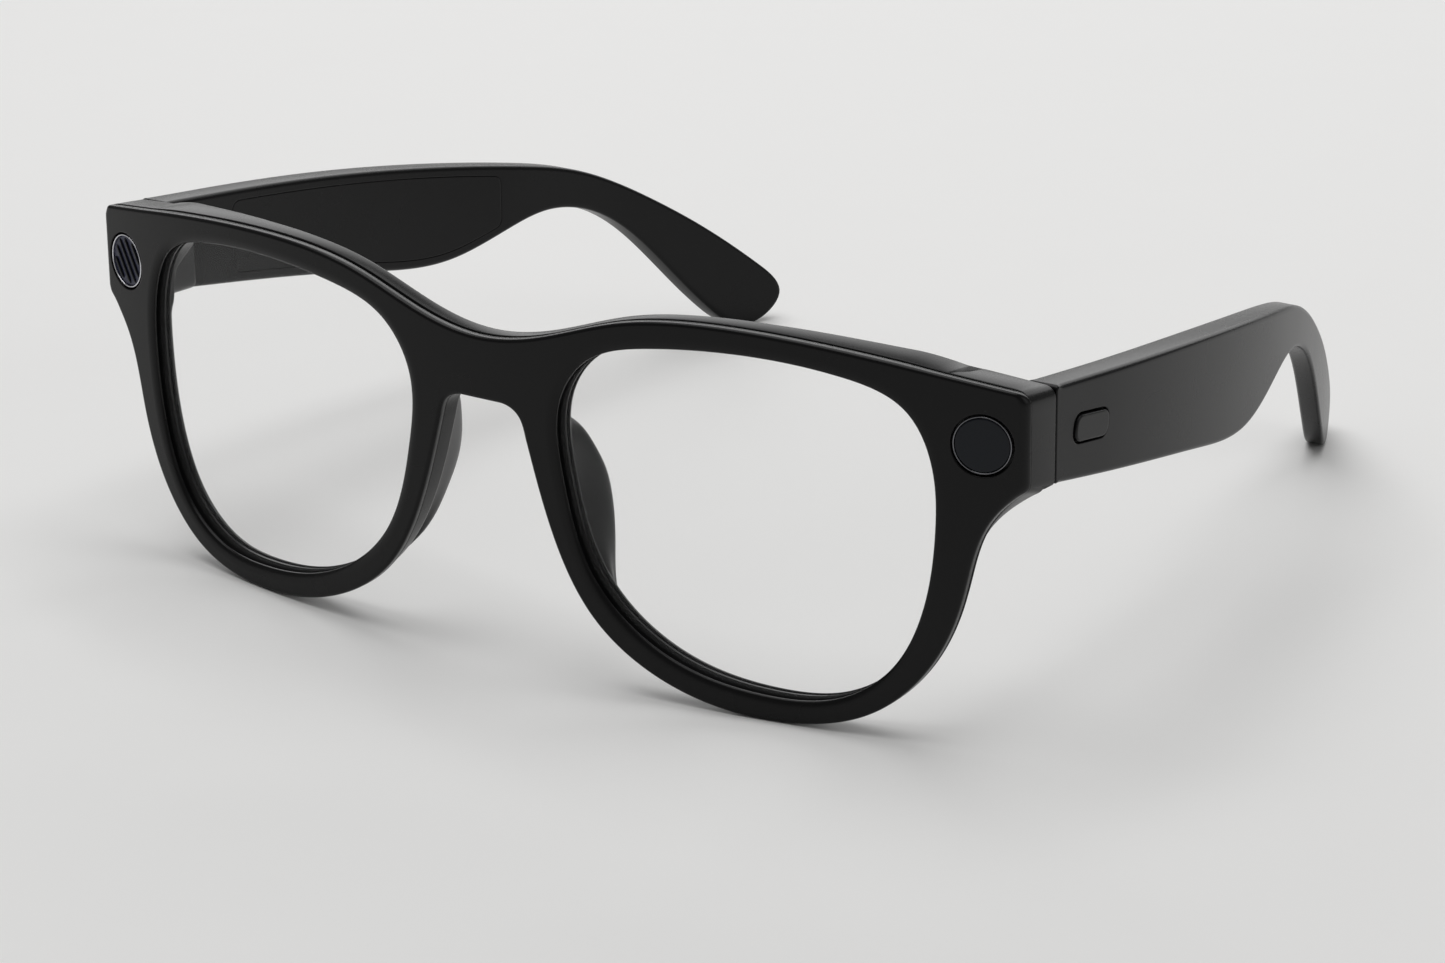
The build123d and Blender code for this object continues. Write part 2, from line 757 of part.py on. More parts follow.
with BuildPart() as left_speaker_mesh:
    with BuildSketch(PLAN.offset(-16.4)):
        with Locations(Location((*SOUND_SLOT, 0), (0, 0, SOUND_SLOT_TURN))):
            SlotOverall(SOUND_SLOT_LENGTH - 2 * FIT, SOUND_SLOT_WIDTH - 2 * FIT)
            with GridLocations(0.7, 0.6, 6, 2):
                Circle(0.18, mode=Mode.SUBTRACT)
    extrude(amount=0.4)
save(left_speaker_mesh, "left_speaker_mesh")
mirrored(left_speaker_mesh.part, "right_speaker_mesh")


with BuildPart() as left_core_wire:
    add(bowed(core_route(1.8, 88), from_outer(1.6), from_inner(1.4)))
save(left_core_wire, "left_core_wire")
mirrored(left_core_wire.part, "right_core_wire")


# ---------------------------------------------------------------- hinges

HINGE_CENTRE = (HINGE_X, HINGE_BACK)


def knuckle(bottom, top):
    """One knuckle's sleeve, from bottom to top on the hinge axis."""
    with BuildPart() as sleeve:
        with BuildSketch(PLAN.offset(bottom)):
            with Locations(HINGE_CENTRE):
                Circle(KNUCKLE_RADIUS)
        extrude(amount=top - bottom)
    return sleeve.part


def arm(bottom, top, corner_a, corner_b):
    """Block between two plan corners that ties a knuckle to its leaf."""
    with BuildPart() as block:
        with BuildSketch(PLAN.offset(bottom)):
            with Locations(((corner_a[0] + corner_b[0]) / 2, (corner_a[1] + corner_b[1]) / 2)):
                Rectangle(corner_b[0] - corner_a[0], corner_b[1] - corner_a[1])
        extrude(amount=top - bottom)
    return block.part


def pin_hole(radius):
    """Cylinder on the hinge axis, longer than the hinge."""
    with BuildPart() as hole:
        with BuildSketch(PLAN.offset(-HINGE_HALF_HEIGHT - 1)):
            with Locations(HINGE_CENTRE):
                Circle(radius)
        extrude(amount=2 * HINGE_HALF_HEIGHT + 2)
    return hole.part


with BuildPart() as left_hinge_front_leaf:
    with BuildSketch(FACE.offset(-END_PIECE_BACK + LEAF_THICKNESS)):
        with Locations((HINGE_X - 0.4, 0)):
            Rectangle(FRONT_LEAF_WIDTH, 2 * HINGE_HALF_HEIGHT)
    extrude(amount=-LEAF_THICKNESS)
    for bottom in (-HINGE_HALF_HEIGHT, MIDDLE_KNUCKLE_HALF + KNUCKLE_GAP):
        top = bottom + HINGE_HALF_HEIGHT - MIDDLE_KNUCKLE_HALF - KNUCKLE_GAP
        add(knuckle(bottom, top))
        add(arm(bottom, top, (HINGE_X - 1.3, END_PIECE_BACK - 0.2), (HINGE_X + 0.4, HINGE_BACK)))
    add(pin_hole(PIN_RADIUS), mode=Mode.SUBTRACT)
save(left_hinge_front_leaf, "left_hinge_front_leaf")
mirrored(left_hinge_front_leaf.part, "right_hinge_front_leaf")


with BuildPart() as left_hinge_temple_leaf:
    leaf_x = TEMPLE_OUTER_X - TEMPLE_THICKNESS
    add(arm(-HINGE_HALF_HEIGHT, HINGE_HALF_HEIGHT, (leaf_x, 20.2), (leaf_x + LEAF_THICKNESS, 24.6)))
    add(knuckle(-MIDDLE_KNUCKLE_HALF, MIDDLE_KNUCKLE_HALF))
    tie = arm(
        -MIDDLE_KNUCKLE_HALF,
        MIDDLE_KNUCKLE_HALF,
        (HINGE_X, HINGE_BACK - 0.2),
        (leaf_x + 0.2, HINGE_BACK + 1.3),
    )
    add(tie)
    add(pin_hole(PIN_RADIUS + PIN_CLEARANCE), mode=Mode.SUBTRACT)
save(left_hinge_temple_leaf, "left_hinge_temple_leaf")
mirrored(left_hinge_temple_leaf.part, "right_hinge_temple_leaf")


with BuildPart() as left_hinge_screw:
    with BuildSketch(PLAN.offset(-HINGE_HALF_HEIGHT)):
        with Locations(HINGE_CENTRE):
            Circle(PIN_RADIUS)
    extrude(amount=2 * HINGE_HALF_HEIGHT)
    with BuildSketch(PLAN.offset(HINGE_HALF_HEIGHT)):
        with Locations(HINGE_CENTRE):
            Circle(SCREW_HEAD_RADIUS)
    extrude(amount=SCREW_HEAD_HEIGHT)
    with BuildSketch(PLAN.offset(HINGE_HALF_HEIGHT + SCREW_HEAD_HEIGHT)):
        with Locations(HINGE_CENTRE):
            Rectangle(3, 0.35)
    extrude(amount=-0.3, mode=Mode.SUBTRACT)
save(left_hinge_screw, "left_hinge_screw")
mirrored(left_hinge_screw.part, "right_hinge_screw")


# ---------------------------------------------------------------- capture button


with BuildPart() as capture_button:
    extrude(button_sketch(BUTTON_RECESS, 0), amount=-1.5)
    outer_face = capture_button.faces().sort_by(Axis.X)[-1]
    fillet(outer_face.edges(), radius=0.3)
    extrude(button_sketch(FLANGE_NEAR, FLANGE_GROW), amount=-FLANGE_THICKNESS)
save(capture_button, "capture_button")


with BuildPart() as button_gasket:
    extrude(button_sketch(0.55, BUTTON_GAP - FIT), amount=-0.35)
    extrude(button_sketch(0.5, 0.08), amount=-0.5, mode=Mode.SUBTRACT)
save(button_gasket, "button_gasket")


with BuildPart() as button_switch:
    extrude(button_sketch(SWITCH_NEAR, 0.9), amount=-0.5)
    with BuildSketch(BUTTON_PLANE.offset(-SWITCH_NEAR)):
        with Locations(BUTTON_CENTRE):
            Circle(1.5)
    extrude(amount=SWITCH_DOME, taper=20)
save(button_switch, "button_switch")
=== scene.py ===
"""Looks of the smart glasses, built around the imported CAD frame. Lengths are in millimetres up to
the functions that place a piece in space, which turn them into metres. x runs to the wearer's left
from the middle, y back from the front of the bridge, z up from the centres of the two windows, and
a depth runs in from the outer surface."""

import json
import math

import bmesh
import bpy
import numpy as np
from mathutils import Matrix, Vector
from mathutils.geometry import delaunay_2d_cdt


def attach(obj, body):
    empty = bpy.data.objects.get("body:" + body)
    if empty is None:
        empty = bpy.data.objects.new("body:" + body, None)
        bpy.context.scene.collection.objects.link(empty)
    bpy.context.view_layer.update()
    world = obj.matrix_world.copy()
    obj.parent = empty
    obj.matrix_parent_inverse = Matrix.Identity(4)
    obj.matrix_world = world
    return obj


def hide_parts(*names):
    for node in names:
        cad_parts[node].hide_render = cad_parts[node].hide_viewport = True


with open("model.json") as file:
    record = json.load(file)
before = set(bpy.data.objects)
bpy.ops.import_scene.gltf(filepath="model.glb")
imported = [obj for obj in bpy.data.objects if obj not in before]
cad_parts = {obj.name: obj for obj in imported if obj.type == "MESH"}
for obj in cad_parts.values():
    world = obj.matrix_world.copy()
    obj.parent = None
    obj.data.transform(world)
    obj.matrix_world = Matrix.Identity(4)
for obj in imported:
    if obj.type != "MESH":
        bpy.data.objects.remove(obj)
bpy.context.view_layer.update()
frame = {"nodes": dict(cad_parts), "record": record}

# Where the front of the bridge and the window centres lie in the frame.
FRONT_Y = -69.8
WINDOW_HEIGHT = 40.1

# The front: radius of its wrap, bezel and rim thickness, and its two end pieces.
WRAP = 237.0
BEZEL = 1.2
RIM_DEPTH = 4.4
HALF_WIDTH = 73.7
END_TOP = 6.8
END_LOW = -5.2
END_BACK = 18.82
END_CORNER = 1.8
END_PIECE_INNER = 62.6
STEEP_FROM = 16.5

# The windows in the end pieces.
WINDOW_X = 68.5
WINDOW_BORE = 4.0

# The temples: where they start, their top and underside there, and their thickness.
TEMPLE_START = 19.3
TEMPLE_START_TOP = 5.9
TEMPLE_START_LOW = -6.8
TEMPLE_THICKNESS = 4.37
TEMPLE_CORNER = 0.6
TEMPLE_OUTER = 73.5
TIP_THINNING = 0.6

# The temples bow inward, on a radius for each face, from here back.
BOW_START = 30
OUTER_BOW = 272
INNER_BOW = 278

# The bay in the inner face of each temple, and its lid.
BAY_INSET = 1.5
BAY_START = 33.2
BAY_END = 88.3
BAY_CORNER = 1.5
BAY_DEPTH = 0.8
LID_FIT = 0.05

# The capture button and its pocket in the left temple.
BUTTON_AT = (27.8, -1.65)
BUTTON_TILT = -9.5
BUTTON_LENGTH = 8.1
BUTTON_HEIGHT = 3.4
BUTTON_CORNER = 1.3
BUTTON_GAP = 0.3
BUTTON_PROUD = 0.3
BUTTON_BACK = 1.0
POCKET_DEPTH = 1.5


# ------------------------------------------------------------------ outlines


def curve(points, step, start=None, end=None, closed=False):
    """Points along the cubic spline through the given ones, about a step apart. Start and end are
    its directions there; without them it sets off along the first and last stretch."""
    p = np.array(points, float)
    if closed:
        p = np.vstack([p, p[:1]])
    n = len(p)
    h = np.linalg.norm(np.diff(p, axis=0), axis=1)
    s = np.diff(p, axis=0) / h[:, None]
    a = np.zeros((n, n))
    b = np.zeros((n, 2))
    for i in range(1, n - 1):
        a[i, i - 1 : i + 2] = h[i], 2 * (h[i - 1] + h[i]), h[i - 1]
        b[i] = 3 * (h[i] * s[i - 1] + h[i - 1] * s[i])
    if closed:
        a[0, n - 2], a[0, 0], a[0, 1] = h[0], 2 * (h[-1] + h[0]), h[-1]
        b[0] = 3 * (h[0] * s[-1] + h[-1] * s[0])
        a[-1, -1], a[-1, 0] = 1, -1
    else:
        for row, tangent, slope in ((0, start, s[0]), (n - 1, end, s[-1])):
            a[row, row] = 1
            t = slope if tangent is None else np.array(tangent, float)
            b[row] = t / np.linalg.norm(t)
    m = np.linalg.solve(a, b)
    out = []
    for i in range(n - 1):
        count = max(2, int(round(h[i] / step)))
        t = (np.arange(count) / count)[:, None]
        out.append(
            (2 * t**3 - 3 * t**2 + 1) * p[i]
            + (t**3 - 2 * t**2 + t) * h[i] * m[i]
            + (3 * t**2 - 2 * t**3) * p[i + 1]
            + (t**3 - t**2) * h[i] * m[i + 1]
        )
    if not closed:
        out.append(p[-1:])
    return np.vstack(out)


def round_corner(p, corner, radius, steps=7):
    """Closed outline p with the vertex nearest to corner replaced by an arc."""
    k = int(np.argmin(np.linalg.norm(p - np.array(corner, float), axis=1)))
    p = np.roll(p, -k, axis=0)
    tip = p[0]
    ahead = (p[2] - tip) / np.linalg.norm(p[2] - tip)
    behind = (p[-2] - tip) / np.linalg.norm(p[-2] - tip)
    half = math.acos(max(-1, min(1, float(ahead @ behind)))) / 2
    cut = radius / math.tan(half)
    d = np.linalg.norm(p - tip, axis=1)
    keep = [i for i in range(1, len(p)) if d[i] > cut * 1.05 or 6 < i < len(p) - 6]
    middle = (ahead + behind) / np.linalg.norm(ahead + behind)
    centre = tip + middle * radius / math.sin(half)
    a = tip + behind * cut - centre
    b = tip + ahead * cut - centre
    total = math.atan2(a[0] * b[1] - a[1] * b[0], float(a @ b))
    arc = []
    for q in np.linspace(0, total, steps):
        c, s = math.cos(q), math.sin(q)
        arc.append(centre + np.array([a[0] * c - a[1] * s, a[0] * s + a[1] * c]))
    return np.vstack([arc, p[keep]])


def spread(p, step):
    """Closed outline p with no gap longer than a step."""
    out = []
    for a, b in zip(p, np.roll(p, -1, axis=0)):
        count = max(1, int(math.ceil(np.linalg.norm(b - a) / step)))
        for k in range(count):
            out.append(a + (b - a) * k / count)
    return np.array(out)


def turned(p, clockwise):
    """Closed outline p, running the way asked for."""
    area = np.sum(p[:, 0] * np.roll(p[:, 1], -1) - p[:, 1] * np.roll(p[:, 0], -1))
    return p[::-1] if (area < 0) != clockwise else p


def outward(p):
    """Unit normals of a closed outline, to the right of the way it runs."""
    t = np.roll(p, -1, axis=0) - p
    t /= np.linalg.norm(t, axis=1)[:, None]
    t = t + np.roll(t, 1, axis=0)
    t /= np.linalg.norm(t, axis=1)[:, None]
    return np.stack([t[:, 1], -t[:, 0]], axis=1)


def grown(p, amount):
    """Counter-clockwise outline p, moved out by amount."""
    return p + outward(p) * amount


def front_outline():
    """Outline of the front in front view: brow, end piece, rim and bridge, and their mirror image."""
    brow = [(0, 4.3), (8.3, 5.5), (20.5, 9.4), (36, 11.0), (54.5, 9.7), (HALF_WIDTH, END_TOP)]
    rim = [
        (HALF_WIDTH, END_LOW), (69.0, -10.6), (66.0, -21), (62.2, -30), (54.6, -37.3), (43, -40.1),
        (28, -37.9), (16.6, -30.6), (10.5, -19.8), (7.0, -8.5),
    ]
    top = curve(brow, 0.8, (1, 0), (1, -0.16))
    side = np.array([(HALF_WIDTH, z) for z in np.linspace(END_TOP, END_LOW, 16)[1:-1]])
    low = curve(rim, 0.8, (-1, -0.75), (-0.28, 1))
    bridge = curve([(7.0, -8.5), (5.8, -5.3), (3.0, -4.1)], 0.4, (-0.28, 1), (-1, 0))
    flat = np.array([(x, -4.1) for x in np.linspace(3, 0, 5)])
    half = np.vstack([top, side, low, bridge[1:-1], flat])
    whole = np.vstack([half, half[-2:0:-1] * (-1, 1)])
    for x in (HALF_WIDTH, -HALF_WIDTH):
        whole = round_corner(whole, (x, END_TOP), END_CORNER)
        whole = round_corner(whole, (x, END_LOW), END_CORNER)
    return turned(whole, False)


LENS = [
    (36.5, 7.7), (50.5, 6.7), (58.8, 3.4), (62.1, -3), (62.7, -12), (61.1, -23), (57, -31.2),
    (50.4, -35.8), (41, -36.9), (27.5, -34.1), (16.8, -25.5), (12.3, -12.5), (12, -2.5),
    (16.2, 3.7), (25, 6.7),
]


def lens_outline(side, amount=0.0):
    """Outline of an opening of the front, grown by amount. Side is 1 on the wearer's left."""
    p = grown(turned(curve(LENS, 0.8, closed=True), False), amount)
    return turned(p * (side, 1), False)


TEMPLE_TOP = [(TEMPLE_START, TEMPLE_START_TOP), (53.5, 1.4), (80, -3.1), (93, -5.8)]
TEMPLE_UNDERSIDE = [
    (97, -13.7), (88, -15.3), (78, -17.2), (60, -14.8), (TEMPLE_START, TEMPLE_START_LOW),
]
TIP = [
    (103, -8.6), (117, -16), (135.8, -30.3), (139.55, -36), (134.6, -40.04), (127, -36),
    (117, -24.8), (107.5, -16.6),
]


def temple_outline():
    """Outline of a temple in side view, y across and z up."""
    p = curve(TEMPLE_TOP + TIP + TEMPLE_UNDERSIDE, 0.8, (1, -0.13), (-1, 0.2))
    heights = np.linspace(TEMPLE_START_LOW, TEMPLE_START_TOP, 17)[1:-1]
    p = np.vstack([p, [(TEMPLE_START, z) for z in heights]])
    p = round_corner(p, (TEMPLE_START, TEMPLE_START_TOP), TEMPLE_CORNER, 5)
    p = round_corner(p, (TEMPLE_START, TEMPLE_START_LOW), TEMPLE_CORNER, 5)
    return turned(p, False)


def straight(a, b, step):
    """Points from a to b, at most a step apart."""
    count = int(math.ceil(np.linalg.norm(b - a) / step))
    return np.array([a + (b - a) * k / count for k in range(count + 1)])


def bay_outline():
    """Outline of the bay in a temple, an even wall inside the temple's own."""
    top = curve(TEMPLE_TOP, 0.8)
    low = curve(TEMPLE_UNDERSIDE, 0.8)[::-1]
    ys = np.arange(BAY_START, BAY_END + 0.01, 0.8)
    upper = np.stack([ys, np.interp(ys, top[:, 0], top[:, 1]) - BAY_INSET], axis=1)
    lower = np.stack([ys, np.interp(ys, low[:, 0], low[:, 1]) + BAY_INSET], axis=1)
    front = straight(upper[0], lower[0], 0.8)
    back = straight(lower[-1], upper[-1], 0.8)
    p = np.vstack([front, lower[1:-1], back, upper[-2:0:-1]])
    for corner in (upper[0], lower[0], lower[-1], upper[-1]):
        p = round_corner(p, corner, BAY_CORNER, 7)
    return turned(p, False)


def pill(centre, length, height, corner, tilt=0.0, arc=6):
    """Rounded rectangle, turned clockwise by tilt in degrees."""
    p = []
    for sx, sz, start in ((1, 1, 0), (-1, 1, 90), (-1, -1, 180), (1, -1, 270)):
        for q in np.linspace(start, start + 90, arc):
            r = math.radians(q)
            across = sx * (length / 2 - corner) + corner * math.cos(r)
            up = sz * (height / 2 - corner) + corner * math.sin(r)
            p.append((across, up))
    p = spread(np.array(p), 0.5)
    r = math.radians(tilt)
    turn = np.array([[math.cos(r), math.sin(r)], [-math.sin(r), math.cos(r)]])
    return turned(p @ turn + np.array(centre, float), False)


# ------------------------------------------------------------------ surfaces


def surface(x, depth=0.0):
    """How far back the layer of the wrapped front at that depth lies."""
    return WRAP - np.sqrt((WRAP - depth) ** 2 - np.asarray(x, float) ** 2)


def ease(v, low, high):
    """0 up to low and 1 from high on, with a smooth rise between."""
    t = np.clip((np.asarray(v, float) - low) / (high - low), 0, 1)
    return t * t * (3 - 2 * t)


def arrays(*values):
    return np.broadcast_arrays(*[np.asarray(v, float) for v in values])


def in_space(x, y, z):
    """Place in the frame, in metres."""
    return np.stack([x, FRONT_Y + y, WINDOW_HEIGHT + z], axis=-1) / 1000


def end_piece_drop(x, y, z):
    """How much an end piece sinks on its way back, first evenly and then more steeply. The top
    and the underside sink by amounts of their own, mixed in between."""
    near = surface(x)
    out = np.clip((np.abs(x) - END_PIECE_INNER) / (HALF_WIDTH - END_PIECE_INNER), 0, 1)
    first = np.clip((y - near) / np.maximum(STEEP_FROM - near, 1), 0, 1)
    second = ease(y, 14.7, END_BACK)
    top = -(0.7 - 0.2 * out) * first - (1.35 - 1.05 * out) * second
    low = -(0.2 + 1.2 * out) * first - (0.1 + 0.2 * out) * second
    return low + (top - low) * np.clip((z - END_LOW) / (END_TOP - END_LOW), 0, 1)


def on_front(x, z, depth):
    """Front view and depth to space, on the wrapped front."""
    x, z, depth = arrays(x, z, depth)
    y = surface(x, depth)
    share = ease(np.abs(x), 57, 64) * ease(z, -13, -6)
    return in_space(x, y, z + end_piece_drop(x, y, z) * share)


def unwrapped(x, z, depth):
    """Front view and distance back to space, with no wrap."""
    x, z, depth = arrays(x, z, depth)
    return in_space(x, depth, z)


def bowed(y, radius):
    """How far a temple's face has bent inward."""
    past = np.maximum(y - BOW_START, 0)
    return radius - np.sqrt(radius**2 - past**2)


def on_temple(side):
    """Side view and depth to space, for one temple. It bows inward, and thins before the tip."""

    def place(y, z, depth):
        y, z, depth = arrays(y, z, depth)
        outer = TEMPLE_OUTER - bowed(y, OUTER_BOW)
        inner = TEMPLE_OUTER - TEMPLE_THICKNESS - bowed(y, INNER_BOW) + TIP_THINNING * ease(y, 88, 112)
        x = outer + (inner - outer) * depth / TEMPLE_THICKNESS
        return in_space(side * x, y, z)

    return place


def inside(points, polygon):
    """Which points lie in a closed outline."""
    x, y = points[:, 0], points[:, 1]
    px, py = polygon[:, 0], polygon[:, 1]
    qx, qy = np.roll(px, -1), np.roll(py, -1)
    hit = np.zeros(len(points), bool)
    for ax, ay, bx, by in zip(px, py, qx, qy):
        if ay == by:
            continue
        crosses = (ay > y) != (by > y)
        hit ^= crosses & (x < (bx - ax) * (y - ay) / (by - ay) + ax)
    return hit


def between(points, loops):
    """Which points lie in the first outline and in none of the others."""
    ok = inside(points, loops[0])
    for hole in loops[1:]:
        ok &= ~inside(points, hole)
    return ok


def nearest(points, others):
    """Distance from each point to the nearest of the others."""
    return np.array([np.min(np.linalg.norm(others - p, axis=1)) for p in points])


def fill_points(loops, spacing, extra):
    """Points to mesh between the outlines: a triangular grid that makes room for the extra points,
    and those, all clear of the outlines."""
    low, high = loops[0].min(0), loops[0].max(0)
    xs = np.arange(low[0], high[0], spacing)
    zs = np.arange(low[1], high[1], spacing * 0.866)
    grid = np.array([(x + (k % 2) * spacing / 2, z) for k, z in enumerate(zs) for x in xs])
    clear = 0.55 * spacing
    gap = np.full(len(grid), clear)
    if extra is not None:
        grid = grid[nearest(grid, extra) > clear]
        gap = np.r_[np.full(len(grid), clear), np.full(len(extra), 0.12)]
        grid = np.vstack([grid, extra])
    ok = between(grid, loops)
    grid, gap = grid[ok], gap[ok]
    return grid[nearest(grid, np.vstack(loops)) > gap]


def fill(loops, spacing, extra=None):
    """Triangles between a first outline and the holes in it: 2-D points and index triples.
    The outlines' own points come first, in order."""
    points = np.vstack(loops + [fill_points(loops, spacing, extra)])
    edges = []
    base = 0
    for loop in loops:
        edges += [(base + k, base + (k + 1) % len(loop)) for k in range(len(loop))]
        base += len(loop)
    verts, _, faces, ids, _, _ = delaunay_2d_cdt([Vector(p) for p in points], edges, [], 0, 1e-6)
    verts = np.array([v[:] for v in verts])
    source = {vert: max(group) for vert, group in enumerate(ids) if group}
    kept = between(np.array([verts[list(f)].mean(0) for f in faces]), loops)
    faces = [f for f, ok in zip(faces, kept) if ok and all(v in source for v in f)]
    return points, [[source[v] for v in f] for f in faces]


def slab(name, place, loops, near_depth, far_depth, spacing=1.6, extra=None):
    """A plate with rounded edges, from a near face to a far face. place takes a flat view and a
    depth to space. Each loop is a dict: "line", its outline; "rings", its walls as a list of
    (inset, depth), or (inset, depth, shift across), from near to far, each value a number or one
    a point. A pocket also has the "side" that it is cut into, "near" or "far", and its "floor"
    depth. A face's depth may be a function of the place, and extra points go into the far face."""
    verts, faces = [], []
    near, far, floors = [], [], []

    def put(p, depth):
        start = len(verts)
        verts.extend(place(p[:, 0], p[:, 1], depth).tolist())
        return list(range(start, start + len(p)))

    for loop in loops:
        line = loop["line"]
        normal = outward(line)
        count = len(line)
        rows = []
        for inset, depth, *shift in loop["rings"]:
            p = line - normal * np.broadcast_to(np.asarray(inset, float), count)[:, None]
            p = p + (shift[0] if shift else 0.0, 0.0)
            rows.append((p, put(p, depth)))
        for (_, a), (_, b) in zip(rows, rows[1:]):
            faces += [(a[k - 1], a[k], b[k], b[k - 1]) for k in range(count)]
        side = loop.get("side")
        if side != "far":
            near.append(rows[0])
        if side != "near":
            far.append(rows[-1])
        if side == "near":
            floors.append(([rows[-1]], loop["floor"], False, None))
        if side == "far":
            floors.append(([rows[0]], loop["floor"], True, None))

    ends = [(near, near_depth, False, None), (far, far_depth, True, extra)]
    for rows, depth, flip, more in ends + floors:
        points, triangles = fill([p for p, _ in rows], spacing, more)
        index = [i for _, row in rows for i in row]
        rest = points[len(index) :]
        if len(rest):
            index += put(rest, depth(rest[:, 0], rest[:, 1]) if callable(depth) else depth)
        for triangle in triangles:
            corners = [index[k] for k in triangle]
            faces.append(tuple(corners[::-1] if flip else corners))
    return piece(name, verts, faces)


def piece(name, verts, faces):
    """A mesh object with smooth faces and outward normals."""
    mesh = bpy.data.meshes.new(name)
    mesh.from_pydata([tuple(v) for v in verts], [], faces)
    mesh.validate()
    bm = bmesh.new()
    bm.from_mesh(mesh)
    bmesh.ops.remove_doubles(bm, verts=bm.verts, dist=2e-7)
    bmesh.ops.recalc_face_normals(bm, faces=bm.faces)
    bm.to_mesh(mesh)
    bm.free()
    mesh.shade_smooth()
    obj = bpy.data.objects.new(name, mesh)
    bpy.context.scene.collection.objects.link(obj)
    return obj


FLAT_RING = 0.12


def round_over(width, height, depth, far, steps=6):
    """Rings round an edge, from the near face to the wall or from the wall to the far face. The
    rounding is width wide on the face and height deep on the wall, numbers or one value a point. A
    ring just past it keeps the face's shading flat."""
    rings = []
    for k in range(steps + 1):
        q = math.radians(90 * k / steps)
        if far:
            rings.append((width * (1 - math.cos(q)), depth - height * (1 - math.sin(q))))
        else:
            rings.append((width * (1 - math.sin(q)), depth + height * (1 - math.cos(q))))
    flat = (width + FLAT_RING, depth)
    return rings + [flat] if far else [flat] + rings


# ------------------------------------------------------------------ materials


def material(name, color, rough, metallic=0.0, specular=0.5, alpha=1.0, grain=0.0, scale=900.0, vary=0.0):
    """Moulded or machined surface with fine grain in its bump and slow drift in colour and gloss."""
    m = bpy.data.materials.new(name)
    m.use_nodes = True
    nodes, links = m.node_tree.nodes, m.node_tree.links
    shader = nodes["Principled BSDF"]
    shader.inputs["Base Color"].default_value = (*color, 1)
    shader.inputs["Roughness"].default_value = rough
    shader.inputs["Metallic"].default_value = metallic
    shader.inputs["Specular IOR Level"].default_value = specular
    shader.inputs["Alpha"].default_value = alpha
    place = nodes.new("ShaderNodeTexCoord")
    slow = nodes.new("ShaderNodeTexNoise")
    slow.inputs["Scale"].default_value = 60
    slow.inputs["Detail"].default_value = 3
    links.new(place.outputs["Object"], slow.inputs["Vector"])
    if vary:
        gloss = nodes.new("ShaderNodeMapRange")
        gloss.inputs["To Min"].default_value = rough * (1 - vary)
        gloss.inputs["To Max"].default_value = min(1, rough * (1 + vary))
        links.new(slow.outputs["Fac"], gloss.inputs["Value"])
        links.new(gloss.outputs["Result"], shader.inputs["Roughness"])
        tint = nodes.new("ShaderNodeMix")
        tint.data_type = "RGBA"
        tint.inputs["A"].default_value = (*[c * (1 - vary * 0.5) for c in color], 1)
        tint.inputs["B"].default_value = (*[min(1, c * (1 + vary * 0.5)) for c in color], 1)
        links.new(slow.outputs["Fac"], tint.inputs["Factor"])
        links.new(tint.outputs["Result"], shader.inputs["Base Color"])
    if grain:
        fine = nodes.new("ShaderNodeTexNoise")
        fine.inputs["Scale"].default_value = scale
        fine.inputs["Detail"].default_value = 2
        bump = nodes.new("ShaderNodeBump")
        bump.inputs["Strength"].default_value = grain
        bump.inputs["Distance"].default_value = 0.00005
        links.new(place.outputs["Object"], fine.inputs["Vector"])
        links.new(fine.outputs["Fac"], bump.inputs["Height"])
        links.new(bump.outputs["Normal"], shader.inputs["Normal"])
    return m


MOULDED = {"scale": 2600, "vary": 0.1}
PLASTIC = material("gloss_black_plastic", (0.0042, 0.0042, 0.0044), 0.27, specular=0.19, grain=0.1, **MOULDED)
PAD = material("pad_plastic", (0.010, 0.010, 0.0103), 0.34, specular=0.3, grain=0.1, **MOULDED)
BUTTON = material("button_plastic", (0.006, 0.006, 0.0062), 0.3, specular=0.25, grain=0.08, **MOULDED)
LENS_CLEAR = material("clear_lens", (0.95, 0.96, 0.96), 0.03, specular=0.5, alpha=0.02)
WINDOW = material("window_glass", (0.0035, 0.0055, 0.009), 0.10, specular=0.22, vary=0.15)
GUIDE = material("light_guide_plastic", (0.030, 0.033, 0.066), 0.3, specular=0.25, vary=0.2)
RIB = material("light_guide_rib", (0.0028, 0.0032, 0.0055), 0.25, specular=0.10, vary=0.1)
TRIM = material("trim_metal", (0.72, 0.72, 0.75), 0.16, metallic=1.0, vary=0.15)
# A darker copy of the trim metal, which paints shade on the camera's ring.
SHADED_TRIM = material("shaded_trim_metal", (0.16, 0.16, 0.17), 0.16, metallic=1.0, vary=0.15)
STEEL = material("hinge_steel", (0.42, 0.42, 0.43), 0.33, metallic=1.0, grain=0.2, scale=1500, vary=0.2)
GOLD = material("contact_gold", (0.78, 0.55, 0.22), 0.22, metallic=1.0, vary=0.15)
# Near-black and almost unreflecting: partly real seal, partly painted shade in the lens openings and in the
# seams behind the end pieces.
SEAL_AND_SHADE = material("lens_seal_and_shade", (0.0012, 0.0012, 0.0013), 0.7, specular=0.03, vary=0.1)
RUBBER = material("seal_rubber", (0.008, 0.008, 0.008), 0.7, specular=0.3, grain=0.3, scale=1800, vary=0.1)
BOARD = material("board_green", (0.015, 0.06, 0.035), 0.4, vary=0.2)
FOIL = material("battery_foil", (0.6, 0.6, 0.6), 0.3, metallic=0.9, vary=0.2)
HOUSING = material("driver_housing", (0.03, 0.03, 0.032), 0.35, vary=0.15)
MESH = material("mesh_steel", (0.10, 0.10, 0.105), 0.4, metallic=1.0, vary=0.2)
FILM = material("flex_film", (0.35, 0.16, 0.03), 0.35, vary=0.2)
BLACK = material("sensor_black", (0.008, 0.008, 0.009), 0.45, vary=0.1)

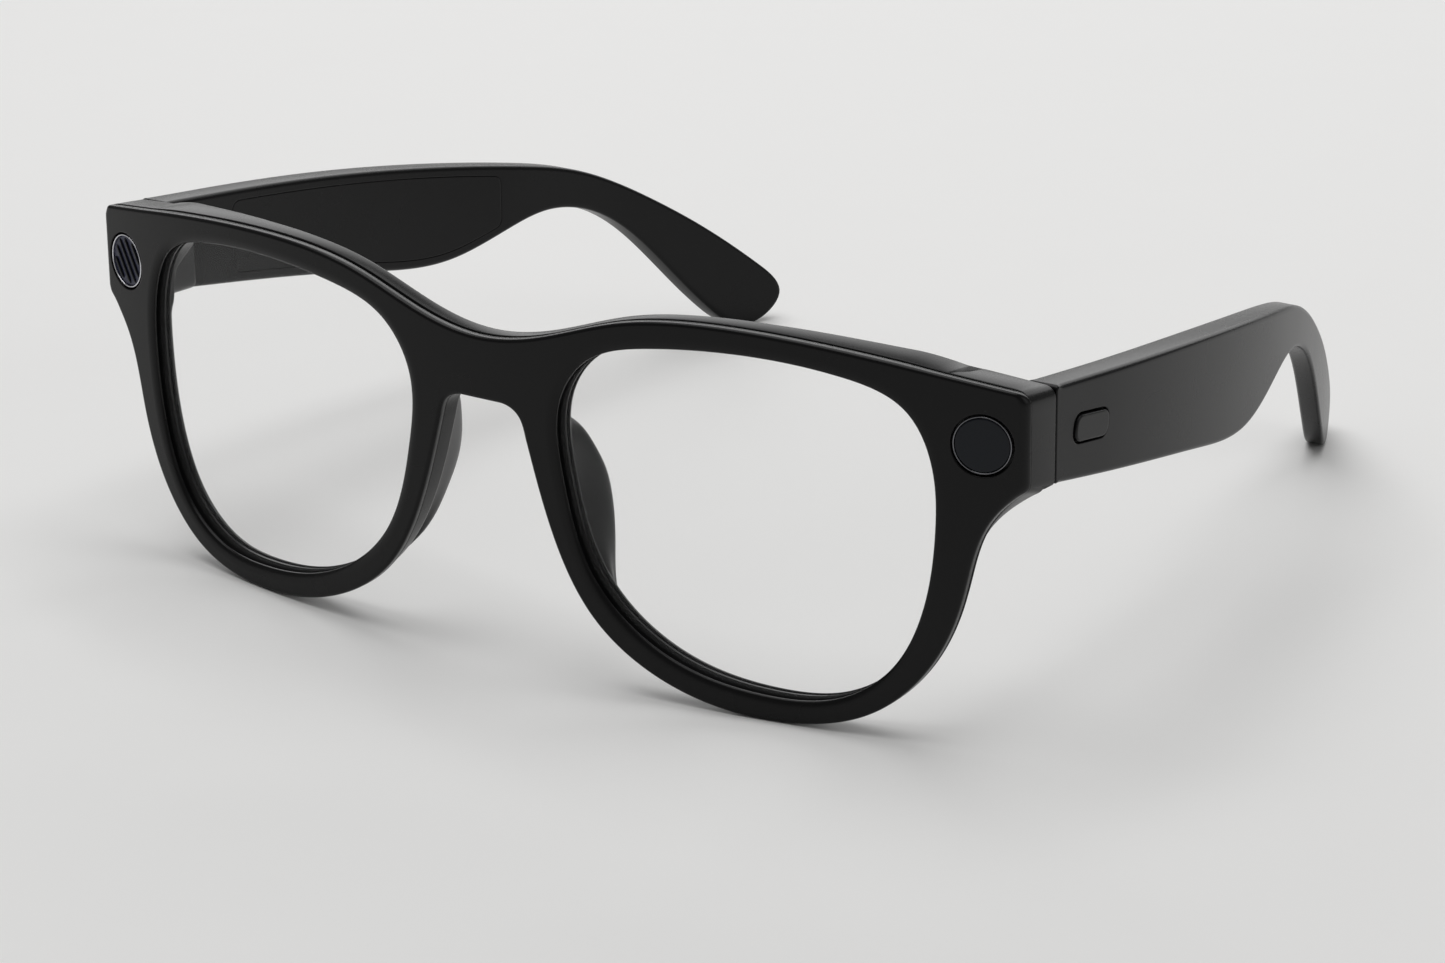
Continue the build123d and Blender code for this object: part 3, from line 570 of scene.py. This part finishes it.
BY_SLOT = {
    "gloss_black": PLASTIC, "lens_clear": LENS_CLEAR, "window_glass": WINDOW,
    "light_guide_plastic": GUIDE, "trim_metal": TRIM, "hinge_steel": STEEL, "core_steel": STEEL,
    "seal_rubber": RUBBER, "board_green": BOARD, "battery_foil": FOIL, "driver_housing": HOUSING,
    "mesh_steel": MESH, "flex_film": FILM, "contact_metal": GOLD, "lens_glass": WINDOW,
    "sensor_black": BLACK,
}
slots = {s["node"]: s["material_slot"] for s in frame["record"]["subparts"]}
for node, obj in frame["nodes"].items():
    obj.data.materials.clear()
    obj.data.materials.append(BY_SLOT[slots[node]])


def dress(obj, mat, body, slot, *nodes):
    """Give a piece its material, the body it rides on and the CAD nodes it replaces. Its slot is not used."""
    obj.data.materials.append(mat)
    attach(obj, body)
    if nodes:
        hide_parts(*nodes)
    return obj


# ------------------------------------------------------------------ front

# An end piece steps up from the back of the rim: its inner side, its underside and the corner
# between them. STEP_RISE is how much of the step is done at each distance inside its footprint.
STEP_X = 63.4
STEP_Z = -4.9
STEP_ROUND = 1.2
STEP_TOP = 9.2
STEP_END = 74
STEP_POINT_GAP = 0.42
STEP_EDGE_GAP = 0.14
STEP_ROWS = [-0.7, -0.35, -0.12, 0.0, 0.06, 0.2, 0.45, 0.9]
STEP_RISE = [0, 0.004, 0.018, 0.06, 0.90, 0.965, 0.994, 1]

# How much deeper the brow is than the rim, from the middle out.
BROW_X = [22, 30, 40, 50, 60, 66]
BROW_EXTRA = [0, 0.1, 0.5, 1.25, 2.15, 2.5]


def inside_step(x, z):
    """Distance inside an end piece's footprint on the back of the front."""
    a = np.maximum(STEP_ROUND - (np.abs(x) - STEP_X), 0)
    b = np.maximum(STEP_ROUND - (np.asarray(z, float) - STEP_Z), 0)
    return STEP_ROUND - np.hypot(a, b)


def back_depth(x, z):
    """Depth of the back of the front: rim, brow and end pieces."""
    x = np.asarray(x, float)
    full = WRAP - np.sqrt((WRAP - END_BACK) ** 2 + x**2)
    brow = np.interp(np.abs(x), BROW_X, BROW_EXTRA) * ease(z, -1, 4)
    rise = np.interp(inside_step(x, z), STEP_ROWS, STEP_RISE)
    return RIM_DEPTH + brow + (full - RIM_DEPTH - brow) * rise


def step_points():
    """Rows of points along both steps, so that each stays crisp."""
    cx, cz = STEP_X + STEP_ROUND, STEP_Z + STEP_ROUND
    out = []
    for row in STEP_ROWS:
        r = STEP_ROUND - row
        out += [(STEP_X + row, z) for z in np.arange(STEP_TOP, cz, -STEP_POINT_GAP)]
        out += [(cx - r * math.cos(q), cz - r * math.sin(q)) for q in np.linspace(0, math.pi / 2, 6)]
        out += [(x, STEP_Z + row) for x in np.arange(cx + STEP_POINT_GAP, STEP_END, STEP_POINT_GAP)]
    half = np.array(out)
    return np.vstack([half, half * (-1, 1)])


def with_dense_steps(p):
    """Closed outline p, with more points where it crosses a step."""
    out = []
    for a, b in zip(p, np.roll(p, -1, axis=0)):
        near = min(abs(float(inside_step(*a))), abs(float(inside_step(*b)))) < STEP_ROWS[-1]
        count = max(1, int(math.ceil(np.linalg.norm(b - a) / STEP_EDGE_GAP))) if near else 1
        out += [a + (b - a) * k / count for k in range(count)]
    return np.array(out)


def window_hole(side):
    """Outline of a window's bore in front view, narrowed by the wrap."""
    q = np.linspace(0, 2 * math.pi, 72, endpoint=False)
    narrowed = math.sqrt(1 - (WINDOW_X / WRAP) ** 2)
    across = side * WINDOW_X + WINDOW_BORE * narrowed * np.cos(q)
    return turned(np.stack([across, WINDOW_BORE * np.sin(q)], axis=1), True)


# Edges of the bezel's openings, as (inset, depth): a long soft break from the face into the hole.
OPENING_EDGE = [
    (1.42, 0),
    (1.3, 0),
    (1.0, 0.02),
    (0.75, 0.06),
    (0.5, 0.12),
    (0.3, 0.19),
    (0.17, 0.26),
    (0.08, 0.34),
    (0.02, 0.44),
    (0, 0.55),
    (0, BEZEL),
]
WINDOW_EDGE = [(0.2, 0), (0.12, 0), (0.035, 0.035), (0, 0.12)]
GROOVE_DEPTH = 0.45
GROOVE_WIDTH = 0.55
WINDOW_LEAN = 0.35  # how far a bore's far end lies inward, as it runs square to the wrap


def bezel():
    """The thin front plate. Its outer edge is rounded more along the ends of the end pieces."""
    outline = front_outline()
    normal = outward(outline)
    roll = ease(np.abs(normal[:, 0]), 0.3, 0.95)
    roll = roll * ease(outline[:, 1], -9, -5) * ease(np.abs(outline[:, 0]), 70, 72)
    rings = round_over(0.5 + 0.42 * roll, 0.45 + 0.6 * roll, 0, False, 8)
    loops = [{"line": outline, "rings": rings + [(0, BEZEL - 0.08), (0.08, BEZEL)]}]
    for side in (1, -1):
        loops.append({"line": turned(lens_outline(side), True), "rings": OPENING_EDGE})
        bore = WINDOW_EDGE + [(0, BEZEL, -side * WINDOW_LEAN)]
        loops.append({"line": window_hole(side), "rings": bore})
    return slab("bezel", on_front, loops, 0, BEZEL)


def rim_frame():
    """The frame behind the bezel, with the groove between them along the brow and the cheeks. Away
    from the end pieces its back edge is rounded, most along the lower rim, where the wall also
    leans in."""
    line = with_dense_steps(front_outline())
    normal = outward(line)
    low_rim = ease(-line[:, 1], 7, 14) * ease(np.abs(line[:, 0]), 8, 20)
    brow = ease(normal[:, 1], 0.5, 0.9) * ease(73.2 - np.abs(line[:, 0]), 0, 1.5)
    cheek = ease(np.abs(normal[:, 0]), 0.5, 0.85) * ease(-line[:, 1], 6.5, 9)
    cheek = cheek * ease(np.abs(line[:, 0]), 50, 58)
    groove = np.maximum(brow, 0.5 * cheek)
    away = 1 - ease(inside_step(line[:, 0], line[:, 1]), -9, -0.2)
    lean = 0.45 * low_rim
    width = 0.3 + away * (0.4 + 1.1 * low_rim)
    height = 0.3 + away * (0.4 + 1.6 * low_rim)
    last = line - normal * (lean + width)[:, None]
    wall = back_depth(last[:, 0], last[:, 1])
    rings = [
        (GROOVE_DEPTH * groove + 0.3, BEZEL),
        (GROOVE_DEPTH * groove, BEZEL),
        (GROOVE_DEPTH * groove, BEZEL + GROOVE_WIDTH * groove),
        (0.15 * groove, BEZEL + 0.58 * groove),
        (0.04 * groove, BEZEL + 0.64 * groove),
        (0.0, BEZEL + 0.05 + 0.7 * groove),
    ]
    rings += [(lean + inset, depth) for inset, depth in round_over(width, height, wall, True, 8)]
    loops = [{"line": line, "rings": rings}]
    for side in (1, -1):
        line = with_dense_steps(turned(lens_outline(side), True))
        radius = 0.25 + 0.85 * (1 - ease(inside_step(line[:, 0], line[:, 1]), -2.6, -1.2))
        last = line - outward(line) * radius[:, None]
        wall = back_depth(last[:, 0], last[:, 1])
        rings = [(0, BEZEL), (0, BEZEL + 0.05)] + round_over(radius, radius, wall, True)
        loops.append({"line": line, "rings": rings})
    return slab("rim_frame", on_front, loops, BEZEL, back_depth, 1.6, step_points())


dress(bezel(), PLASTIC, "front", "gloss_black", "front_bezel")
dress(rim_frame(), PLASTIC, "front", "gloss_black", "front_frame")

# The lenses fill the middle of the openings, and a seal lines the opening on either side of them, near-black
# and unreflecting: partly the real seal, partly painted shade.
LENS_NEAR = 1.4
LENS_FAR = 2.95
SEAL_AND_SHADE_BANDS = {"front": (0.72, 2.4), "back": (2.72, 3.4)}


def lens_shell(side, word):
    """A lens, a little larger than its opening."""
    rings = [(0.3, LENS_NEAR), (0.1, LENS_NEAR), (0, LENS_NEAR + 0.1)]
    rings += [(0, LENS_FAR - 0.1), (0.1, LENS_FAR), (0.3, LENS_FAR)]
    loop = {"line": lens_outline(side, 0.1), "rings": rings}
    return slab(word + "_lens_shell", on_front, [loop], LENS_NEAR, LENS_FAR, 2.4)


def lens_seal_and_shade(side, word, band):
    """A dark band round the wall of an opening, in front of the lens or behind it, partly the real seal and
    partly painted shade on that wall.
    """
    near, far = SEAL_AND_SHADE_BANDS[band]
    outer = {"line": lens_outline(side, 0.3), "rings": [(0, near), (0, far)]}
    rings = [(0.05, near), (0, near + 0.05), (0, far - 0.05), (0.05, far)]
    inner = {"line": turned(lens_outline(side, -0.03), True), "rings": rings}
    return slab(word + "_lens_seal_and_shade_" + band, on_front, [outer, inner], near, far)


for side, word in ((1, "left"), (-1, "right")):
    dress(lens_shell(side, word), LENS_CLEAR, "front", "lens_clear", word + "_lens")
    for band in SEAL_AND_SHADE_BANDS:
        dress(lens_seal_and_shade(side, word, band), SEAL_AND_SHADE, "front", "seal_rubber", word + "_lens_gasket")


# ------------------------------------------------------------------ nose pads

PAD_TOP = -4.4
PAD_BOTTOM = -31.2
PAD_ROWS = 34
PAD_AROUND = 22
PAD_RIDGE_WIDTH = 0.95
PAD_ROOT_DEPTH = 2.6

# (height, x) of where a pad's two sides leave the rim and of its ridge, and (height, y) of the
# ridge.
PAD_INNER = [(-4.0, 6.3), (-5.2, 6.7), (-12.2, 8.6), (-20.5, 11.4), (-29.5, 16.9), (-31.6, 18.6)]
PAD_OUTER = [(-4.0, 8.2), (-4.8, 9.2), (-12.2, 11.6), (-20, 14.0), (-28.2, 18.0), (-31.6, 20.4)]
PAD_RIDGE = [
    (-4.0, 7.6), (-7.7, 9.7), (-11.1, 10.9), (-14.3, 11.8), (-17.2, 12.5), (-22.3, 13.9),
    (-27, 15.6), (-31.6, 19.4),
]
PAD_RIDGE_BACK = [
    (-4.0, 3.4), (-7.7, 8.0), (-11.1, 9.8), (-14.3, 10.8), (-17.2, 10.9), (-22.3, 9.6),
    (-27, 7.2), (-31.6, 3.6),
]


def at_height(points, z):
    """Value at one height of the curve through (height, value) points."""
    table = curve(points, 0.6)
    return np.interp(-z, -table[:, 0], table[:, 1])


def pad_section(z):
    """Plan view of a pad at one height: up its outer side, over the ridge, down its inner side."""
    inner, outer = at_height(PAD_INNER, z), at_height(PAD_OUTER, z)
    rx, ry = at_height(PAD_RIDGE, z), at_height(PAD_RIDGE_BACK, z)
    root = float(surface(outer)) + PAD_ROOT_DEPTH
    w = PAD_RIDGE_WIDTH
    path = [
        (outer, root),
        (outer + 0.10 * (rx - outer), root + 0.45 * (ry - root)),
        (rx + 0.72 * w, ry - 1.1),
        (rx + 0.30 * w, ry - 0.18),
        (rx - 0.30 * w, ry - 0.12),
        (rx - 0.9 * w, ry - 0.95),
        (inner + 0.30 * (rx - inner), root + 0.40 * (ry - root)),
        (inner, root),
    ]
    line = curve(path, 0.2)
    d = np.r_[0, np.cumsum(np.linalg.norm(np.diff(line, axis=0), axis=1))]
    t = np.linspace(0, d[-1], PAD_AROUND)
    return np.interp(t, d, line[:, 0]), np.interp(t, d, line[:, 1])


def nose_pad(side, word):
    """A pad skinned over its sections."""
    verts = []
    for z in np.linspace(PAD_TOP, PAD_BOTTOM, PAD_ROWS):
        x, y = pad_section(z)
        verts += in_space(side * x, y, np.full(PAD_AROUND, z)).tolist()
    faces = []
    for k in range(PAD_ROWS - 1):
        for m in range(PAD_AROUND):
            a, b = k * PAD_AROUND + m, k * PAD_AROUND + (m + 1) % PAD_AROUND
            faces.append((a, b, b + PAD_AROUND, a + PAD_AROUND))
    faces.append(tuple(range(PAD_AROUND)))
    faces.append(tuple(range((PAD_ROWS - 1) * PAD_AROUND, PAD_ROWS * PAD_AROUND))[::-1])
    return piece("nose_pad_" + word, verts, faces)


for side, word in ((1, "left"), (-1, "right")):
    dress(nose_pad(side, word), PAD, "front", "gloss_black", word + "_nose_pad")


# ------------------------------------------------------------------ windows


def window_frame(side):
    """Matrix of a window: x across, y up, z out of the front."""
    angle = math.asin(WINDOW_X / WRAP)
    back = WRAP * (1 - math.cos(angle))
    x = Vector((math.cos(angle), side * math.sin(angle), 0))
    z = Vector((side * math.sin(angle), -math.cos(angle), 0))
    y = z.cross(x)
    m = Matrix((x, y, z)).transposed().to_4x4()
    m.translation = Vector((side * WINDOW_X, FRONT_Y + back, WINDOW_HEIGHT)) / 1000
    return m


def lathe(name, profile, matrix, segments=112):
    """Solid of revolution: profile is (radius, height) from the axis round to the axis, or a ring."""
    verts, faces = [], []
    rings = []
    for r, h in profile:
        count = segments if r > 0 else 1
        rings.append(list(range(len(verts), len(verts) + count)))
        for k in range(count):
            q = 2 * math.pi * k / count
            verts.append(tuple(matrix @ (Vector((r * math.cos(q), r * math.sin(q), h)) / 1000)))
    closed = len(rings[0]) > 1
    pairs = list(zip(rings, rings[1:])) + ([(rings[-1], rings[0])] if closed else [])
    for a, b in pairs:
        for k in range(segments):
            m = (k + 1) % segments
            if len(a) == 1:
                faces.append((a[0], b[k], b[m]))
            elif len(b) == 1:
                faces.append((a[k], a[m], b[0]))
            else:
                faces.append((a[k], a[m], b[m], b[k]))
    return piece(name, verts, faces)


# Half sections, out from the axis and up from the front's surface.
TRIM_RING = [
    (3.53, -0.16), (3.55, -0.09), (3.60, -0.06), (3.66, -0.07), (3.71, -0.11), (3.72, -0.18),
    (3.72, -1.3), (3.53, -1.3),
]
CAMERA_GLASS = [
    (0, -0.10), (1.6, -0.105), (2.8, -0.12), (3.2, -0.135), (3.36, -0.15), (3.46, -0.19),
    (3.5, -0.27), (3.5, -1.0), (0, -1.0),
]
GUIDE_DISC = [(0, -0.34), (3.3, -0.34), (3.46, -0.36), (3.5, -0.42), (3.5, -1.3), (0, -1.3)]

# The camera's ring takes the darker copy of the metal as painted shade; the light's ring keeps the bright
# one.
for side, node, metal in ((1, "camera_trim_ring", SHADED_TRIM), (-1, "light_trim_ring", TRIM)):
    ring = lathe(node + "_polished", TRIM_RING, window_frame(side))
    dress(ring, metal, "front", "trim_metal", node)
glass = lathe("camera_window_glass", CAMERA_GLASS, window_frame(1))
dress(glass, WINDOW, "front", "window_glass", "camera_window")
disc = lathe("light_guide_disc", GUIDE_DISC, window_frame(-1))
dress(disc, GUIDE, "front", "light_guide_plastic", "light_guide")

RIB_COUNT = 5
RIB_PITCH = 1.3
RIB_SLOPE = 123
RIB_REACH = 3.32
RIB_HALF = 0.3
RIB_CUT = 0.09
RIB_FOOT = -0.42
RIB_SHOULDER = -0.22
RIB_TOP = -0.14
RIB_STEPS = 16


def ribs():
    """Raised ribs across the light guide, each with chamfered edges and blunt ends."""
    verts, faces = [], []
    m = window_frame(-1)
    slope = math.radians(RIB_SLOPE)
    along = Vector((math.cos(slope), math.sin(slope), 0))
    across = Vector((-along.y, along.x, 0))
    top = RIB_HALF - RIB_CUT
    section = [(-RIB_HALF, RIB_FOOT), (-RIB_HALF, RIB_SHOULDER), (-top, RIB_TOP)]
    section += [(-x, h) for x, h in section[::-1]]
    n = len(section)
    for k in range(RIB_COUNT):
        off = (k - (RIB_COUNT - 1) / 2) * RIB_PITCH
        reach = math.sqrt(RIB_REACH**2 - (abs(off) + RIB_HALF) ** 2)
        start = len(verts)
        for i in range(RIB_STEPS + 1):
            t = -1 + 2 * i / RIB_STEPS
            end = math.sqrt(max(0.0, 1 - abs(t) ** 8))
            for x, h in section:
                at = along * (reach * t) + across * (off + x * (0.25 + 0.75 * end))
                at.z = RIB_FOOT + (h - RIB_FOOT) * (0.4 + 0.6 * end)
                verts.append(tuple(m @ (at / 1000)))
        for i in range(RIB_STEPS):
            for j in range(n):
                a, b = start + i * n + j, start + i * n + (j + 1) % n
                faces.append((a, b, b + n, a + n))
        faces.append(tuple(range(start, start + n)))
        faces.append(tuple(range(start + RIB_STEPS * n, start + (RIB_STEPS + 1) * n))[::-1])
    return piece("light_guide_ribs", verts, faces)


dress(ribs(), RIB, "front", "light_guide_plastic")


# ------------------------------------------------------------------ temples

# Edge rings of the bay and of its lid, which both end at the inner face.
BAY_LIP = [(0, TEMPLE_THICKNESS - 0.03), (0.02, TEMPLE_THICKNESS), (0.15, TEMPLE_THICKNESS)]


def temple_body(side, word, with_button):
    """A temple with the bay in its inner face and, on one, the button's pocket in its outer face."""
    line = temple_outline()
    r = 0.22 + 0.5 * ease(line[:, 0], TEMPLE_START, TEMPLE_START + 1.1)
    rings = round_over(r, r, 0, False) + round_over(r, r, TEMPLE_THICKNESS, True)
    loops = [{"line": line, "rings": rings}]
    if with_button:
        size = (BUTTON_LENGTH + 2 * BUTTON_GAP, BUTTON_HEIGHT + 2 * BUTTON_GAP)
        pocket = pill(BUTTON_AT, *size, BUTTON_CORNER + BUTTON_GAP, BUTTON_TILT)
        rings = round_over(0.12, 0.12, 0, False, 4) + [(0, POCKET_DEPTH)]
        loops.append({"line": turned(pocket, True), "side": "near", "floor": POCKET_DEPTH, "rings": rings})
    floor = TEMPLE_THICKNESS - BAY_DEPTH
    bay = turned(bay_outline(), True)
    loops.append({"line": bay, "side": "far", "floor": floor, "rings": [(0, floor)] + BAY_LIP})
    return slab(word + "_temple_body", on_temple(side), loops, 0, TEMPLE_THICKNESS, 1.6)


def temple_lid(side, word):
    """The cover that closes a temple's bay."""
    near = TEMPLE_THICKNESS - BAY_DEPTH + 0.05
    loop = {"line": grown(bay_outline(), -LID_FIT), "rings": [(0.2, near), (0, near + 0.05)] + BAY_LIP}
    return slab(word + "_temple_lid", on_temple(side), [loop], near, TEMPLE_THICKNESS, 1.6)


def button_cap():
    """The capture button, which stands a little proud of the temple."""
    line = pill(BUTTON_AT, BUTTON_LENGTH, BUTTON_HEIGHT, BUTTON_CORNER, BUTTON_TILT)
    rings = round_over(0.25, 0.25, -BUTTON_PROUD, False, 5) + [(0, BUTTON_BACK)]
    loop = {"line": line, "rings": rings}
    return slab("capture_button_cap", on_temple(1), [loop], -BUTTON_PROUD, BUTTON_BACK, 0.6)


for side, word in ((1, "left"), (-1, "right")):
    body = temple_body(side, word, with_button=side > 0)
    dress(body, PLASTIC, word + "_temple", "gloss_black", word + "_temple_shell")
    dress(temple_lid(side, word), PLASTIC, word + "_temple", "gloss_black", word + "_temple_cover")
dress(button_cap(), BUTTON, "capture_button", "gloss_black", "capture_button")

# A raised land on the back of each end piece, just short of the temple, keeps light out of the seam; its
# near-black, unreflecting material paints the seam's shade.
LAND_X = 71.2
LAND_Z = -0.5
LAND_WIDTH = 3.5
LAND_HEIGHT = 11.0
LAND_NEAR = 18.5
LAND_FAR = TEMPLE_START - 0.1


def seam_shade_land(side, word):
    """One of the two lands."""
    line = pill((side * LAND_X, LAND_Z), LAND_WIDTH, LAND_HEIGHT, 0.5)
    rings = [(0, LAND_NEAR), (0, LAND_FAR - 0.06), (0.06, LAND_FAR)]
    return slab(word + "_seam_shade_land", unwrapped, [{"line": line, "rings": rings}], LAND_NEAR, LAND_FAR)


for side, word in ((1, "left"), (-1, "right")):
    dress(seam_shade_land(side, word), SEAL_AND_SHADE, "front", "seal_rubber")


# ------------------------------------------------------------------ stage


def area_light(name, at, aim, size, radiance):
    """Soft panel; radiance is in the same units as the world's strength."""
    data = bpy.data.lights.new(name, "AREA")
    data.shape = "RECTANGLE"
    data.size, data.size_y = size
    data.energy = radiance * math.pi * size[0] * size[1]
    obj = bpy.data.objects.new(name, data)
    obj.location = at
    obj.rotation_mode = "QUATERNION"
    obj.rotation_quaternion = (Vector(aim) - Vector(at)).to_track_quat("-Z", "Y")
    bpy.context.scene.collection.objects.link(obj)
    return obj


FLOOR_BELOW = 40.15  # below the window centres, in millimetres
floor_mesh = bpy.data.meshes.new("floor")
floor_mesh.from_pydata([(-3, -3, 0), (3, -3, 0), (3, 3, 0), (-3, 3, 0)], [], [(0, 1, 2, 3)])
floor = bpy.data.objects.new("floor", floor_mesh)
floor.location = (0, 0, (WINDOW_HEIGHT - FLOOR_BELOW) / 1000)
bpy.context.scene.collection.objects.link(floor)
paper = material("paper_floor", (0.89, 0.887, 0.88), 0.75, specular=0.2, vary=0.01)
floor_mesh.materials.append(paper)

world = bpy.data.worlds.new("studio")
world.use_nodes = True
world.node_tree.nodes["Background"].inputs["Color"].default_value = (1.0, 0.999, 0.99, 1)
world.node_tree.nodes["Background"].inputs["Strength"].default_value = 0.20
bpy.context.scene.world = world
area_light("overhead", (-0.15, 0.05, 1.1), (0, 0, 0), (1.1, 1.1), 2.1)
area_light("backdrop_glow", (-0.55, 1.25, 0.62), (0, 0, 0.02), (2.0, 0.9), 1.5)
area_light("right_side", (1.15, 0.25, 0.45), (0, 0, 0.02), (0.7, 0.6), 0.9)
bpy.context.scene.view_settings.view_transform = "Standard"

cam_data = bpy.data.cameras.new("photo_camera")
cam_data.sensor_width = 36
cam_data.lens = 109.803
cam = bpy.data.objects.new("photo_camera", cam_data)
bpy.context.scene.collection.objects.link(cam)
bpy.context.scene.camera = cam
# Axes and place of the camera, solved from the photograph.
right = Vector((0.82433, 0.56610, -0.00943))
up = Vector((-0.18925, 0.29123, 0.93785))
back = Vector((0.53355, -0.77131, 0.34720))
view = Matrix((right, up, back)).transposed().to_4x4()
view.translation = (0.32665, -0.48779, 0.22057)
cam.matrix_world = view
